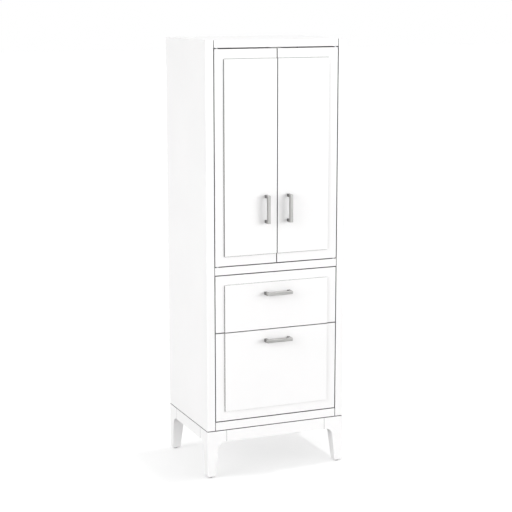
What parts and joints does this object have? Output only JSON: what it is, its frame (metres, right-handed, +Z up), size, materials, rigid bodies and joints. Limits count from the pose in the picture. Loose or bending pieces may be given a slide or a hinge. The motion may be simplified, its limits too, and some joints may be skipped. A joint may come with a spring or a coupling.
{
  "type": "armoire",
  "caption": "Narrow free-standing armoire: inset double doors with shelves above deep drawers, bar pulls, on a low frame with curved, tapered legs.",
  "frame": {"origin": "on the floor, below the middle of the outer box, pulls included", "axes": "+Z up, -Y out of the doors and drawers, +X to the right of a person facing the front"},
  "size_m": [0.61, 0.496, 1.778],
  "materials": {
    "white_paint": "satin white lacquer on board",
    "white_board": "thin white-faced hardboard",
    "birch": "clear satin lacquer",
    "birch_ply": "clear matt lacquer",
    "brushed_nickel": "brushed nickel plate",
    "zinc_steel": "bright zinc plate",
    "steel_hardware": "nickel plate, polished by wear",
    "grey_nylon": "moulded nylon",
    "catch_plastic": "moulded, white"
  },
  "bodies": {
    "case": {"side_panel_left": "white_paint", "side_panel_right": "white_paint", "top_panel": "white_paint", "deck_panel": "white_paint", "bottom_panel": "white_paint", "back_panel": "white_board", "back_rail": "white_paint", "stile_left": "white_paint", "stile_right": "white_paint", "top_rail": "white_paint", "middle_rail": "white_paint", "bottom_rail": "white_paint", "shelf_lower": "white_paint", "shelf_upper": "white_paint", "shelf_pins": "brushed_nickel", "pivot_pins": "steel_hardware", "door_catch": "catch_plastic", "leg_front_left": "white_paint", "leg_front_right": "white_paint", "leg_back_left": "white_paint", "leg_back_right": "white_paint", "leg_bolts": "zinc_steel", "foot_glides": "grey_nylon", "apron_front": "white_paint", "apron_back": "white_paint", "apron_left": "white_paint", "apron_right": "white_paint", "slide_spacers": "birch", "slide_outer": "zinc_steel"},
    "door_left": {"door_left_slab": "white_paint", "door_left_field": "white_paint", "door_left_pull": "brushed_nickel", "door_left_pull_screws": "zinc_steel", "door_left_bushes": "steel_hardware", "door_left_strike": "zinc_steel"},
    "door_right": {"door_right_slab": "white_paint", "door_right_field": "white_paint", "door_right_pull": "brushed_nickel", "door_right_pull_screws": "zinc_steel", "door_right_bushes": "steel_hardware", "door_right_strike": "zinc_steel"},
    "upper_drawer": {"upper_drawer_front": "white_paint", "upper_drawer_field": "white_paint", "upper_drawer_sides": "birch", "upper_drawer_back": "birch", "upper_drawer_bottom": "birch_ply", "upper_drawer_pull": "brushed_nickel", "upper_drawer_pull_screws": "zinc_steel", "upper_drawer_slide_inner": "zinc_steel"},
    "upper_slide_middle": {"upper_drawer_slide_middle": "zinc_steel"},
    "lower_drawer": {"lower_drawer_front": "white_paint", "lower_drawer_field": "white_paint", "lower_drawer_sides": "birch", "lower_drawer_back": "birch", "lower_drawer_bottom": "birch_ply", "lower_drawer_pull": "brushed_nickel", "lower_drawer_pull_screws": "zinc_steel", "lower_drawer_slide_inner": "zinc_steel"},
    "lower_slide_middle": {"lower_drawer_slide_middle": "zinc_steel"}
  },
  "joints": [
    {"name": "door_left_hinge", "type": "hinge", "parent": "case", "child": "door_left", "pos_m": [-0.2565, -0.203, 1.31275], "axis": [0, 0, -1], "range_deg": [0, 110]},
    {"name": "door_right_hinge", "type": "hinge", "parent": "case", "child": "door_right", "pos_m": [0.2565, -0.203, 1.31275], "axis": [0, 0, 1], "range_deg": [0, 110]},
    {"name": "upper_drawer_slide", "type": "slide", "parent": "case", "child": "upper_drawer", "axis": [0, -1, 0], "range_m": [0, 0.38]},
    {"name": "upper_middle_slide", "type": "slide", "parent": "case", "child": "upper_slide_middle", "axis": [0, -1, 0], "range_m": [0, 0.19]},
    {"name": "lower_drawer_slide", "type": "slide", "parent": "case", "child": "lower_drawer", "axis": [0, -1, 0], "range_m": [0, 0.38]},
    {"name": "lower_middle_slide", "type": "slide", "parent": "case", "child": "lower_slide_middle", "axis": [0, -1, 0], "range_m": [0, 0.19]}
  ],
  "couplings": [
    {"joint": "upper_middle_slide", "follows": "upper_drawer_slide", "ratio": 0.5},
    {"joint": "lower_middle_slide", "follows": "lower_drawer_slide", "ratio": 0.5}
  ]
}
